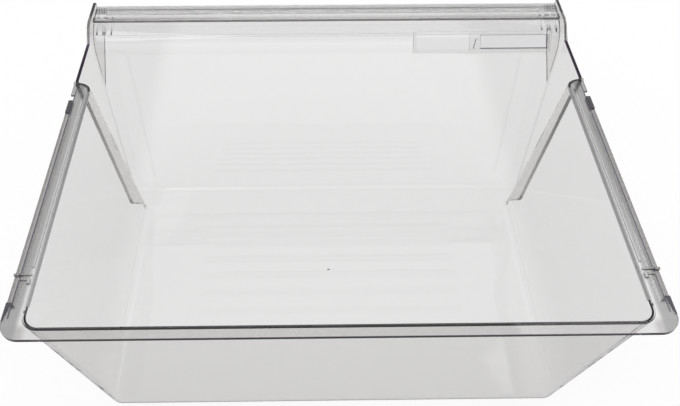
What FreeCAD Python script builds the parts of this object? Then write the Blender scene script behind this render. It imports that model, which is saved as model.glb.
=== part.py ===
"""Clear crisper drawer of a refrigerator: a moulded pan on two side rails, a
clip-on handle bar across its front, and a humidity slider in the front wall.

Millimetres. X runs across the drawer, +Y is the way the drawer is pulled out,
+Z is up. The origin is the middle of the bounding box's bottom. Sizes named
..._reach are measured forwards from the rear edge of the rim, ..._setback
backwards from the front, and ..._drop down from the end walls' top.
"""

import FreeCAD
import Part

import math
import os

import Sketcher

SIZES = (
    ("width", 430.0, "over the side rails"),
    ("depth", 342.0, "rear rim to the tips of the end walls"),
    ("height", 173.0, "floor to the top of the end walls"),
    ("wall", 2.6, "moulded wall"),
    ("floor_wall", 2.8, "moulded floor"),
    ("rim_drop", 9.8, "side rails below the end walls' top"),
    ("rim_wall", 2.8, "thickness of the rim plate"),
    ("rim_corner", 13.0, "outer corner radius of the rim"),
    ("side_flange", 14.4, "width of a side rail"),
    ("rear_flange", 9.2, "width of the rear rim"),
    ("rail_setback", 99.0, "front end of the side rails"),
    ("jog_radius", 10.4, "rounded end of a rail"),
    ("tub_lean", 19.6, "how far the side walls lean in, rim to floor"),
    ("rear_lean", 22.2, "how far the rear wall leans in, rim to floor"),
    ("tub_corner", 9.0, "inner corner radius of the rear corners"),
    ("floor_round", 5.0, "inner radius between floor and walls"),
    ("foot_round", 7.0, "outer radius between floor and walls"),
    ("end_lean", 15.4, "how far the end walls lean in, top to floor"),
    ("front_foot_setback", 80.0, "inside of the front wall, extended to the bottom"),
    ("front_lean", 13.6, "degrees from upright"),
    ("bend_radius", 28.0, "top bend of the front wall"),
    ("bend_step", 0.5, "step in the bend"),
    ("bend_step_angle", 53.0, "degrees round the bend to the step"),
    ("ledge_drop", 5.0, "front ledge below the end walls' top"),
    ("ledge_setback", 7.0, "front edge of the ledge"),
    ("rise_setback", 49.0, "where the end walls leave rim height"),
    ("shoulder_setback", 35.5, "first shoulder of the end walls"),
    ("shoulder_drop", 1.8, "first shoulder below the end walls' top"),
    ("crown_setback", 29.0, "where the end walls reach full height"),
    ("nose_drop", 28.0, "lower front corner of the end walls, below their top"),
    ("chin_drop", 57.0, "where the end walls meet the front wall, below their top"),
    ("nose_slope", 3.0, "how far the end walls' front edge leans back"),
    ("strip_width", 3.6, "stepped outer strip of a rail"),
    ("strip_drop", 1.2, "how far the strip lies below the rail"),
    ("strip_start", 27.0, "rear end of the strip"),
    ("lip_depth", 9.0, "rail top to the lower edge of the strip's lip"),
    ("rim_bevel", 1.5, "sloped edge of the rim round the tub's mouth"),
    ("bead_inset", 2.6, "a rail's inner edge to its bead"),
    ("bead_width", 1.6, "raised bead along a rail"),
    ("bead_rise", 0.8, "height of the bead"),
    ("bead_start", 54.0, "rear end of the bead"),
    ("stop_rib_reach", 47.2, "cross rib on a rail"),
    ("stop_rib_wall", 1.3, "thickness of the cross rib"),
    ("stop_rib_rise", 1.5, "height of the cross rib"),
    ("hook_reach", 43.2, "short second rib with its hook"),
    ("hook_length", 7.0, "length of the short rib"),
    ("ripple_first", 116.0, "rearmost floor ripple"),
    ("ripple_pitch", 19.0, "from ripple to ripple"),
    ("ripple_count", 6, "floor ripples"),
    ("ripple_length", 236.0, "across the floor"),
    ("ripple_radius", 26.0, "crown radius of a ripple"),
    ("ripple_rise", 0.45, "height of a ripple"),
    ("gate_radius", 1.6, "moulding gate mark"),
    ("gate_reach", 160.0, "place of the gate mark"),
    ("hook_wall", 2.0, "thickness of the hook"),
    ("gusset_wall", 1.2, "ribs under the ledge"),
    ("gusset_angle", 50.0, "degrees round the bend to the foot of the ribs"),
    ("gusset_setback", 15.0, "front end of the ribs"),
    ("gusset_nose", 4.0, "height of the ribs' front end"),
    ("gusset_first", 6.4, "outermost rib, from the end wall's outside"),
    ("gusset_second", 12.0, "second rib"),
    ("gusset_third", 13.9, "third rib"),
    ("gusset_fourth", 19.5, "innermost rib"),
    ("bar_near_setback", 24.0, "near edge of the handle bar"),
    ("bar_far_setback", 2.0, "front face of the handle bar"),
    ("bar_end_gap", 0.3, "end of the handle bar to the end wall"),
    ("bar_rise", 3.2, "handle bar top above the ledge"),
    ("bar_bevel", 0.5, "bevel of the bar's near edge"),
    ("bar_step_setback", 15.0, "step along the bar's top"),
    ("bar_step", 0.8, "height of the step"),
    ("bar_crease_setback", 11.0, "crease ahead of the step"),
    ("bar_crease", 0.3, "height of the crease"),
    ("bar_wall", 2.4, "thickness of the grip"),
    ("bar_roll", 4.0, "rounded front edge"),
    ("bar_drop", 33.0, "grip below the bar's top"),
    ("catch_wall", 1.6, "catch that holds the ledge"),
    ("catch_grip", 2.4, "how far the catch reaches under the ledge"),
    ("seat_gap", 0.1, "clearance of seated parts"),
    ("clip_length", 10.4, "notch for an end clip, along the bar"),
    ("clip_near_setback", 14.0, "near side of the notch"),
    ("clip_far_setback", 6.0, "far side of the notch"),
    ("clip_plate", 1.2, "base plate of an end clip"),
    ("clip_rise", 3.2, "height of an end clip"),
    ("clip_rib", 1.3, "ribs of an end clip"),
    ("clip_rib_drop", 0.6, "inner ribs below the end clip's top"),
    ("clip_pitch", 5.6, "from rib to rib"),
    ("vent_inset", 11.6, "right end of the vent's frame, from the drawer's side"),
    ("track_length", 123.2, "length of the frame"),
    ("track_half", 9.3, "half height of the frame"),
    ("track_angle", 36.0, "degrees round the bend to the frame"),
    ("track_end", 1.2, "end walls of the frame"),
    ("track_lip", 1.0, "thickness of the frame"),
    ("track_rail", 2.4, "width of the frame's long sides"),
    ("track_proud", 0.3, "frame above the seat"),
    ("lip_cover", 1.0, "how far the frame covers the slider"),
    ("housing_wall", 1.5, "wall of the slider's housing"),
    ("window_inset", 2.0, "right end of the window, from the frame's end"),
    ("window_length", 62.4, "length of the humidity window"),
    ("window_half", 6.4, "half height of the humidity window"),
    ("slider_length", 72.0, "length of the slider plate"),
    ("slider_wall", 1.4, "thickness of the slider plate"),
    ("slide_gap", 0.2, "running clearance of the slider"),
    ("thumb_wall", 2.2, "thumb rib of the slider"),
    ("thumb_rise", 2.4, "height of the thumb rib"),
    ("thumb_low", 6.2, "thumb rib below the slider's middle"),
    ("thumb_high", 2.8, "thumb rib above the slider's middle"),
    ("thumb_inset", 4.5, "thumb rib from the slider's end"),
    ("front_stop_setback", 38.0, "rear face of a front stop, from the rail's front end"),
    ("front_stop_length", 15.0, "length of a front stop"),
    ("front_stop_depth", 6.0, "rail top to the lower side of a front stop"),
    ("stop_notch", 7.5, "open notch ahead of a front stop"),
    ("glide_reach", 13.0, "rear tip of a rear glide"),
    ("glide_length", 14.0, "length of a rear glide"),
    ("glide_tip", 0.8, "width of a rear glide's tip"),
    ("pad_proud", 0.3, "stops and glides above the rail"),
)

NODES = (
    "pan",
    "handle_bar",
    "left_bar_clip",
    "right_bar_clip",
    "slider_track",
    "humidity_slider",
    "left_front_stop",
    "right_front_stop",
    "left_rear_glide",
    "right_rear_glide",
)

# Places that follow from the sizes above.
DERIVED = (
    ("rim_height", "height - rim_drop"),
    ("ledge_height", "height - ledge_drop"),
    ("shoulder_height", "height - shoulder_drop"),
    ("nose_height", "height - nose_drop"),
    ("chin_height", "height - chin_drop"),
    ("rail_reach", "depth - rail_setback"),
    ("front_foot_reach", "depth - front_foot_setback"),
    ("ledge_reach", "depth - ledge_setback"),
    ("rise_reach", "depth - rise_setback"),
    ("shoulder_reach", "depth - shoulder_setback"),
    ("crown_reach", "depth - crown_setback"),
    ("gusset_reach", "depth - gusset_setback"),
    ("bar_near", "depth - bar_near_setback"),
    ("bar_far", "depth - bar_far_setback"),
    ("bar_step_reach", "depth - bar_step_setback"),
    ("bar_crease_reach", "depth - bar_crease_setback"),
    ("clip_near", "depth - clip_near_setback"),
    ("clip_far", "depth - clip_far_setback"),
    ("front_stop_reach", "rail_reach - front_stop_setback"),
    ("tub_floor_width", "width - 2 * (side_flange + tub_lean)"),
    ("rear_foot_reach", "rear_flange + rear_lean"),
    ("front_floor_width", "width - 2 * (wall + end_lean)"),
    ("end_slope", "end_lean / (height - floor_wall)"),
    ("bar_half", "width / 2 - wall - end_slope * ledge_drop - bar_end_gap"),
    ("track_left", "width / 2 - vent_inset - track_length"),
    ("window_left", "width / 2 - vent_inset - window_inset - window_length"),
)

SIDES = (("left", -1), ("right", 1))
MARGIN = 20.0  # how far a cutting shape runs past what it cuts

doc = FreeCAD.newDocument("crisper_drawer")
sheet = doc.addObject("Spreadsheet::Sheet", "sizes")


def fill_sheet():
    derived = [(name, "=" + text, "") for name, text in DERIVED]
    for row, (name, value, note) in enumerate([*SIZES, *derived], start=1):
        sheet.set(f"A{row}", name)
        sheet.set(f"B{row}", str(value))
        sheet.setAlias(f"B{row}", name)
        sheet.set(f"C{row}", note)
    doc.recompute()


def size(name):
    return float(getattr(sheet, name))


def size_names(text):
    """The expression text with every size name pointing at the sheet."""
    words = []
    word = ""
    for letter in text + " ":
        if letter.isalnum() or letter == "_":
            word += letter
            continue
        words.append("sizes." + word if word in KNOWN else word)
        words.append(letter)
        word = ""
    return "".join(words).strip()


KNOWN = {row[0] for row in (*SIZES, *DERIVED)}


def value_of(holder, text):
    return float(holder.evalExpression(size_names(text)))


def bind(holder, target, text):
    holder.setExpression(target, size_names(text))


def from_rear(text):
    """Y of a length measured forwards from the rear edge of the rim."""
    return f"({text} - depth / 2)"


def plus(*terms):
    return "(" + " + ".join(terms) + ")"


def minus(first, second):
    return f"({first} - {second})"


# Derived places, as expressions of the sizes.
TUB_RIM_HALF = "(width / 2 - side_flange)"
TUB_DRAFT = "(tub_lean / (rim_height - floor_wall))"
REAR_DRAFT = "(rear_lean / (rim_height - floor_wall))"
JOG = from_rear("rail_reach")
LEAN_TAN = "tan(front_lean * 1 deg)"
LEAN_COS = "cos(front_lean * 1 deg)"
LEAN_SIN = "sin(front_lean * 1 deg)"
FOOT = from_rear("front_foot_reach")
BEND_Z = "(ledge_height - bend_radius)"
BEND_INNER = "(bend_radius - bend_step)"
BEND_OUTER = "(bend_radius - bend_step - wall)"
BEND_Y = f"({FOOT} + {LEAN_TAN} * {BEND_Z} + {BEND_INNER} / {LEAN_COS})"


def tub_half(z):
    """Half width inside the tub at height z."""
    return f"(tub_floor_width / 2 + {TUB_DRAFT} * ({z} - floor_wall))"


def tub_rear(z):
    """Y of the rear wall's inside at height z."""
    return from_rear(f"rear_foot_reach - {REAR_DRAFT} * ({z} - floor_wall)")


def front_half(z):
    """Half width between the end walls at height z."""
    return f"(front_floor_width / 2 + end_slope * ({z} - floor_wall))"


def on_bend(radius, angle):
    """Point of the front wall's top bend, at an angle from level."""
    across = f"({BEND_Y} - {radius} * cos({angle} * 1 deg))"
    up = f"({BEND_Z} + {radius} * sin({angle} * 1 deg))"
    return across, up


def new_body(name):
    body = doc.addObject("PartDesign::Body", name)
    body.Label = name
    return body


def plane(body, role):
    return next(item for item in body.Origin.OriginFeatures if item.Role == role)


def new_sketch(body, name, role, offset=None):
    """Sketch on an origin plane of the body, raised by the expression offset."""
    sketch = body.newObject("Sketcher::SketchObject", name)
    sketch.AttachmentSupport = (plane(body, role), "")
    sketch.MapMode = "FlatFace"
    if offset:
        bind(sketch, "AttachmentOffset.Base.z", offset)
    return sketch


def arc_between(start, end, centre):
    """Arc of under a half circle and whether it runs counterclockwise."""
    cu, cv = centre
    radius = math.hypot(start[0] - cu, start[1] - cv)
    first = math.atan2(start[1] - cv, start[0] - cu)
    last = math.atan2(end[1] - cv, end[0] - cu)
    turn = (last - first + math.pi) % (2 * math.pi) - math.pi
    circle = Part.Circle(FreeCAD.Vector(cu, cv, 0), FreeCAD.Vector(0, 0, 1), radius)
    if turn > 0:
        return Part.ArcOfCircle(circle, first, first + turn), True
    return Part.ArcOfCircle(circle, last, last - turn), False


def draw(sketch, steps):
    """Draws one closed outline, bound to the sheet.

    Each step is a corner (across, up) and, where an arc runs from it to the
    next corner, the arc's centre (across, up) too. All are expressions.
    """
    spots = [
        tuple(value_of(sketch, text) for text in step)
        for step in steps
    ]
    first = sketch.GeometryCount
    total = len(steps)
    ends = []
    for index, spot in enumerate(spots):
        start = spot[:2]
        end = spots[(index + 1) % total][:2]
        if len(spot) == 2:
            line = Part.LineSegment(FreeCAD.Vector(*start, 0), FreeCAD.Vector(*end, 0))
            sketch.addGeometry(line, False)
            ends.append((1, 2))
        else:
            arc, forwards = arc_between(start, end, spot[2:])
            sketch.addGeometry(arc, False)
            ends.append((1, 2) if forwards else (2, 1))
    for index, step in enumerate(steps):
        edge = first + index
        after = first + (index + 1) % total
        start_end = ends[index][0]
        next_start = ends[(index + 1) % total][0]
        join = Sketcher.Constraint("Coincident", edge, ends[index][1], after, next_start)
        sketch.addConstraint(join)
        for kind, text, amount in zip(("DistanceX", "DistanceY"), step, spots[index]):
            fixed = Sketcher.Constraint(kind, -1, 1, edge, start_end, amount)
            number = sketch.addConstraint(fixed)
            bind(sketch, f"Constraints[{number}]", text)
        if len(step) == 4:
            radius = f"sqrt(({step[0]} - {step[2]}) ^ 2 + ({step[1]} - {step[3]}) ^ 2)"
            amount = value_of(sketch, radius)
            number = sketch.addConstraint(Sketcher.Constraint("Radius", edge, amount))
            bind(sketch, f"Constraints[{number}]", radius)
    return sketch


def box_steps(low_u, high_u, low_v, high_v):
    return ((low_u, low_v), (high_u, low_v), (high_u, high_v), (low_u, high_v))


def pad(body, sketch, length, middle=False, back=False):
    feature = body.newObject("PartDesign::Pad", sketch.Name + "_pad")
    feature.Profile = sketch
    bind(feature, "Length", length)
    feature.SideType = "Symmetric" if middle else "One side"
    feature.Reversed = back
    sketch.Visibility = False
    return feature


def pocket(body, sketch, length, middle=False, back=False):
    feature = body.newObject("PartDesign::Pocket", sketch.Name + "_pocket")
    feature.Profile = sketch
    bind(feature, "Length", length)
    feature.SideType = "Symmetric" if middle else "One side"
    feature.Reversed = back
    sketch.Visibility = False
    return feature


def view_solid(name, role, steps, length, offset=None, middle=True):
    """Body of one outline pushed along the normal of an origin plane."""
    body = new_body(name)
    sketch = draw(new_sketch(body, name + "_outline", role, offset), steps)
    pad(body, sketch, length, middle)
    doc.recompute()
    return body


def block(name, x, y, z):
    """Box from three pairs of expressions, each its low and high side."""
    box = doc.addObject("Part::Box", name)
    for side, axis, (low, high) in zip(("Length", "Width", "Height"), "xyz", (x, y, z)):
        bind(box, side, minus(high, low))
        bind(box, f"Placement.Base.{axis}", low)
    return box


def mirrored(side, low, high):
    """A pair of distances from the middle, as a low and high X on one side."""
    if side > 0:
        return low, high
    return f"(-{high})", f"(-{low})"


def fuse(name, parts):
    joined = doc.addObject("Part::MultiFuse", name)
    joined.Shapes = parts
    return joined


def cut(name, base, tool):
    left = doc.addObject("Part::Cut", name)
    left.Base = base
    left.Tool = tool
    return left


def common(name, first, second):
    shared = doc.addObject("Part::MultiCommon", name)
    shared.Shapes = [first, second]
    return shared


def rounded_bottom(name, base, z, radius):
    """Fillet round the lowest outline of a solid."""
    doc.recompute()
    feature = doc.addObject("Part::Fillet", name)
    feature.Base = base
    rings = []
    for number, edge in enumerate(base.Shape.Edges, start=1):
        box = edge.BoundBox
        if abs(box.ZMin - z) < 1e-4 and abs(box.ZMax - z) < 1e-4:
            rings.append((number, radius, radius))
    feature.Edges = rings
    return feature


def tub_steps(half, rear, corner, jog, front):
    """Plan of the tub: square behind with round corners, flared at the jog."""
    side = f"({half} + 0)"
    flare = plus(half, jog)
    turn = minus(front[0], jog)
    bend = plus(rear, corner)
    inner = minus(half, corner)
    return (
        (f"(-{inner})", rear),
        (inner, rear, inner, bend),
        (side, bend),
        (side, turn, flare, turn),
        (flare, front[0]),
        (flare, front[1]),
        (f"(-{flare})", front[1]),
        (f"(-{flare})", front[0], f"(-{flare})", turn),
        (f"(-{side})", turn),
        (f"(-{side})", bend, f"(-{inner})", bend),
    )


def tub_loft(name, low, high):
    """Drafted tub between two outlines, each a height and how far it is grown outwards."""
    body = new_body(name)
    sketches = []
    for label, (z, grow) in (("low", low), ("high", high)):
        half = plus(tub_half(z), grow)
        rear = minus(tub_rear(z), grow)
        corner = plus("tub_corner", grow)
        jog = minus("jog_radius", grow)
        front = (minus(JOG, grow), plus(JOG, "wall"))
        sketch = new_sketch(body, f"{name}_{label}", "XY_Plane", z)
        sketches.append(draw(sketch, tub_steps(half, rear, corner, jog, front)))
    loft = body.newObject("PartDesign::AdditiveLoft", name + "_loft")
    loft.Profile = sketches[0]
    loft.Sections = [sketches[1]]
    loft.Ruled = True
    doc.recompute()
    return body


def end_view(name, grow):
    """Trapezium between the end walls, pushed through the whole depth."""
    low = f"(-{MARGIN})"
    high = plus("height", str(MARGIN))
    steps = (
        (f"(-{plus(front_half(low), grow)})", low),
        (plus(front_half(low), grow), low),
        (plus(front_half(high), grow), high),
        (f"(-{plus(front_half(high), grow)})", high),
    )
    return view_solid(name, "XZ_Plane", steps, "depth * 3")


def front_outer():
    """End walls with everything between them, before it is hollowed."""
    foot = plus(FOOT, f"wall / {LEAN_COS}")
    chin = plus(foot, f"{LEAN_TAN} * chin_height")
    steps = (
        (minus(JOG, "wall"), "0"),
        (foot, "0"),
        (chin, "chin_height"),
        ("(depth / 2 - nose_slope)", "nose_height"),
        ("(depth / 2)", "height"),
        (from_rear("crown_reach"), "height"),
        (from_rear("shoulder_reach"), "shoulder_height"),
        (from_rear("rise_reach"), "rim_height"),
        (minus(JOG, "wall"), "rim_height"),
    )
    side = view_solid("front_side_view", "YZ_Plane", steps, "width * 2")
    return common("front_outer", side, end_view("front_end_view", "wall"))


def front_cavity():
    """Space over the floor, the front wall and the ledge."""
    top = plus("height", str(MARGIN))
    start = on_bend(BEND_INNER, "front_lean")
    step_low = on_bend(BEND_INNER, "bend_step_angle")
    step_high = on_bend("bend_radius", "bend_step_angle")
    steps = (
        (JOG, "floor_wall"),
        (f"({FOOT} + {LEAN_TAN} * floor_wall)", "floor_wall"),
        (*start, BEND_Y, BEND_Z),
        step_low,
        (*step_high, BEND_Y, BEND_Z),
        (BEND_Y, "ledge_height"),
        (f"(depth / 2 + {MARGIN})", "ledge_height"),
        (f"(depth / 2 + {MARGIN})", top),
        (JOG, top),
    )
    side = view_solid("cavity_side_view", "YZ_Plane", steps, "width * 2")
    return common("front_cavity", side, end_view("cavity_end_view", "0"))


def handle_recess():
    """Space ahead of the front wall and under the ledge."""
    foot = plus(FOOT, f"wall / {LEAN_COS}")
    low = f"(-{MARGIN})"
    steps = (
        (f"({foot} + {LEAN_TAN} * {low})", low),
        (f"(depth / 2 + {MARGIN})", low),
        (f"(depth / 2 + {MARGIN})", "(ledge_height + 1)"),
        (from_rear("ledge_reach"), "(ledge_height + 1)"),
        (from_rear("ledge_reach"), plus(BEND_Z, BEND_OUTER)),
        (BEND_Y, plus(BEND_Z, BEND_OUTER), BEND_Y, BEND_Z),
        on_bend(BEND_OUTER, "front_lean"),
    )
    side = view_solid("recess_side_view", "YZ_Plane", steps, "width * 2")
    return common("handle_recess", side, end_view("recess_end_view", "0"))


def rim_plate():
    """Flat rim round the tub's rear and sides, with its two rear corners."""
    half = "(width / 2)"
    rear = "(-depth / 2)"
    inner = minus(half, "rim_corner")
    bend = plus(rear, "rim_corner")
    steps = (
        (f"(-{inner})", rear),
        (inner, rear, inner, bend),
        (half, bend),
        (half, JOG),
        (f"(-{half})", JOG),
        (f"(-{half})", bend, f"(-{inner})", bend),
    )
    low = "(rim_height - rim_wall)"
    return view_solid("rim_plate", "XY_Plane", steps, "rim_wall", low, middle=False)


def rail_details(side, name):
    """Lip, bead, cross ribs and hook of one rail, as boxes to be joined on."""
    bead_inner = plus(TUB_RIM_HALF, "bead_inset")
    bead_outer = plus(bead_inner, "bead_width")
    strip = mirrored(side, "(width / 2 - strip_width)", "(width / 2)")
    bead = mirrored(side, bead_inner, bead_outer)
    across = mirrored(side, bead_inner, "(width / 2)")
    short = mirrored(side, bead_inner, plus(bead_inner, "hook_length"))
    hook = mirrored(side, bead_inner, plus(bead_inner, "hook_wall"))
    lip_y = (from_rear("strip_start"), from_rear("front_stop_reach"))
    lip_z = ("(rim_height - lip_depth)", "(rim_height - strip_drop)")
    sunk = "(rim_height - rim_wall / 2)"
    raised = (sunk, "(rim_height + stop_rib_rise)")
    bead_z = (sunk, "(rim_height + bead_rise)")
    bead_y = (from_rear("bead_start"), minus(JOG, "jog_radius"))
    rib = from_rear("stop_rib_reach")
    low_rib = from_rear("hook_reach")
    return [
        block(f"{name}_lip", strip, lip_y, lip_z),
        block(f"{name}_bead", bead, bead_y, bead_z),
        block(f"{name}_cross_rib", across, (rib, plus(rib, "stop_rib_wall")), raised),
        block(f"{name}_short_rib", short, (low_rib, plus(low_rib, "stop_rib_wall")), raised),
        block(f"{name}_hook", hook, (minus(low_rib, "stop_rib_wall * 2"), low_rib), raised),
    ]


def strip_cut(side, name):
    """Step that leaves the rail's outer strip lower than the rail."""
    x = mirrored(side, "(width / 2 - strip_width)", f"(width / 2 + {MARGIN})")
    y = (from_rear("strip_start"), minus(JOG, "wall"))
    z = ("(rim_height - strip_drop)", "(rim_height + stop_rib_rise + 1)")
    return block(f"{name}_strip_cut", x, y, z)


def notch_cut(side, name):
    """Notch in the strip for the front stop and the open gap ahead of it."""
    x = mirrored(side, "(width / 2 - strip_width)", f"(width / 2 + {MARGIN})")
    start = from_rear("front_stop_reach")
    y = (start, plus(start, "front_stop_length", "stop_notch"))
    z = ("(rim_height - lip_depth - 1)", "(rim_height + 1)")
    return block(f"{name}_notch_cut", x, y, z)


def glide_plan(side, gap):
    """Plan of a rear glide: a wedge that tapers towards the rear corner."""
    sign = "" if side > 0 else "-"
    tip = from_rear("glide_reach")
    end = from_rear("glide_reach + glide_length")
    outer = "(width / 2)" if gap == "0" else f"(width / 2 + {MARGIN})"
    steps = (
        (f"({sign}(width / 2 - glide_tip - {gap}))", minus(tip, gap)),
        (f"({sign}{outer})", minus(tip, gap)),
        (f"({sign}{outer})", plus(end, gap)),
        (f"({sign}(width / 2 - strip_width - {gap}))", plus(end, gap)),
    )
    return steps if side > 0 else steps[::-1]


def glide_cut(side, name):
    """Slot in the rim for a rear glide."""
    steps = glide_plan(side, "seat_gap")
    low = "(rim_height - rim_wall - 1)"
    return view_solid(f"{name}_glide_cut", "XY_Plane", steps, "(rim_wall + 2)", low, middle=False)


def gussets(side, name):
    """Four thin ribs under the ledge, beside one end wall."""
    ribs = []
    sill = plus(BEND_Z, BEND_OUTER, "wall / 2")
    steps = (
        (from_rear("gusset_reach"), minus(sill, "gusset_nose")),
        (from_rear("gusset_reach"), sill),
        (BEND_Y, sill, BEND_Y, BEND_Z),
        on_bend(plus(BEND_OUTER, "wall / 2"), "gusset_angle"),
    )
    for place in ("first", "second", "third", "fourth"):
        inset = f"gusset_{place}"
        rib = new_body(f"{name}_{inset}")
        middle = f"({side} * (width / 2 - {inset}))"
        sketch = new_sketch(rib, f"{rib.Name}_outline", "YZ_Plane", middle)
        pad(rib, draw(sketch, steps), "gusset_wall", middle=True)
        ribs.append(rib)
    doc.recompute()
    return ribs


def floor_ripples():
    """Low rounded ridges across the floor."""
    slab = block(
        "ripple_slab",
        ("(-ripple_length / 2)", "(ripple_length / 2)"),
        ("(-depth / 2)", "(depth / 2)"),
        ("(floor_wall / 2)", "(floor_wall + ripple_rise + 1)"),
    )
    rolls = []
    for number in range(int(size("ripple_count"))):
        roll = doc.addObject("Part::Cylinder", f"ripple_{number + 1}")
        bind(roll, "Radius", "ripple_radius")
        bind(roll, "Height", "ripple_length")
        roll.Placement.Rotation = FreeCAD.Rotation(FreeCAD.Vector(0, 1, 0), 90)
        bind(roll, "Placement.Base.x", "(-ripple_length / 2)")
        bind(roll, "Placement.Base.y", from_rear(f"ripple_first + ripple_pitch * {number}"))
        bind(roll, "Placement.Base.z", "(floor_wall + ripple_rise - ripple_radius)")
        rolls.append(roll)
    return common("floor_ripples", fuse("ripple_rolls", rolls), slab)


def gate_mark():
    mark = doc.addObject("Part::Cone", "gate_mark")
    bind(mark, "Radius1", "gate_radius")
    bind(mark, "Radius2", "(gate_radius * 0.6)")
    bind(mark, "Height", "(floor_wall / 2 + ripple_rise * 2)")
    bind(mark, "Placement.Base.y", from_rear("gate_reach"))
    bind(mark, "Placement.Base.z", "(floor_wall / 2)")
    return mark


# The vent, in its own frame: X along it, Y up its slope, Z out of the seat.
TRACK_MIDDLE = "(track_left + track_length / 2)"
TRACK_SEAT = f"sqrt({BEND_INNER} ^ 2 - track_half ^ 2)"
FRAME_BOTTOM = "(track_proud - track_lip)"
SLIDER_TOP = minus(FRAME_BOTTOM, "slide_gap")
SLIDER_BOTTOM = minus(SLIDER_TOP, "slider_wall")
CHANNEL_FLOOR = minus(SLIDER_BOTTOM, "slide_gap")
HOUSING_BOTTOM = minus(CHANNEL_FLOOR, "housing_wall")
OPENING_HALF = "(track_half - track_rail)"
OPENING_END = "(track_length / 2 - track_end)"
SLIDER_HALF = plus(OPENING_HALF, "lip_cover")
POCKET_HALF = "(track_half + seat_gap)"
POCKET_END = "(track_length / 2 + seat_gap)"


def lean_into_track(body):
    """Puts a body's own frame in the vent's."""
    body.Placement.Rotation = FreeCAD.Rotation(FreeCAD.Vector(1, 0, 0), 90)
    bind(body, "Placement.Rotation.Angle", "(90 - track_angle) * 1 deg")
    bind(body, "Placement.Base.x", TRACK_MIDDLE)
    across, up = on_bend(TRACK_SEAT, "track_angle")
    bind(body, "Placement.Base.y", across)
    bind(body, "Placement.Base.z", up)


def vent_box(name, along, slope, low, high):
    """Box in the vent's frame from its low and high sides."""
    body = view_solid(name, "XY_Plane", box_steps(*along, *slope), minus(high, low), low, middle=False)
    lean_into_track(body)
    return body


def both_ways(half):
    return f"(-{half})", half


def vent_housing():
    """Block behind the bend that the slider's channel is sunk into."""
    along = both_ways(plus(POCKET_END, "housing_wall"))
    slope = both_ways(plus(POCKET_HALF, "housing_wall"))
    return vent_box("vent_housing", along, slope, HOUSING_BOTTOM, SLIDER_TOP)


def vent_cuts():
    """Seat of the frame, channel of the slider and the window through it."""
    top = "(wall * 4)"
    bottom = f"(-{MARGIN})"
    seat = minus(FRAME_BOTTOM, "seat_gap")
    channel = both_ways(plus(SLIDER_HALF, "slide_gap"))
    left = minus("window_left", TRACK_MIDDLE)
    window = (left, plus(left, "window_length"))
    return [
        vent_box("frame_seat", both_ways(POCKET_END), both_ways(POCKET_HALF), seat, top),
        vent_box("slider_channel", both_ways(OPENING_END), channel, CHANNEL_FLOOR, top),
        vent_box("humidity_window", window, both_ways("window_half"), bottom, top),
    ]


def build_pan():
    """The clear moulding: tub, front end, rails, ledge and all their ribs."""
    tub = tub_loft("tub_outer", ("0", "wall"), ("rim_height", "wall"))
    cavity_top = plus("height", str(MARGIN))
    tub_space = tub_loft("tub_cavity", ("floor_wall", "0"), (cavity_top, "0"))
    mouth_low = (minus("rim_height", "rim_bevel * 2"), minus("0", "rim_bevel"))
    mouth_high = (plus("rim_height", "rim_bevel"), plus("rim_bevel", "rim_bevel"))
    mouth = tub_loft("tub_mouth", mouth_low, mouth_high)
    outer = fuse("outer_shell", [tub, front_outer()])
    rounded_outer = rounded_bottom("outer_rounded", outer, 0.0, size("foot_round"))
    inner = fuse("inner_space", [tub_space, front_cavity()])
    rounded_inner = rounded_bottom("inner_rounded", inner, size("floor_wall"), size("floor_round"))
    details = [rounded_outer, rim_plate()]
    cuts = [rounded_inner, mouth, handle_recess()]
    for name, side in SIDES:
        cuts.append(strip_cut(side, name))
    blank = cut("hollowed", fuse("solid_blank", details), fuse("main_cuts", cuts))
    added = [blank, floor_ripples(), gate_mark(), vent_housing()]
    last_cuts = vent_cuts()
    for name, side in SIDES:
        added += rail_details(side, name)
        added += gussets(side, name)
        last_cuts += [notch_cut(side, name), glide_cut(side, name)]
    pan = cut("pan", fuse("ribbed", added), fuse("last_cuts", last_cuts))
    pan.Label = "pan"
    return pan


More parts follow.
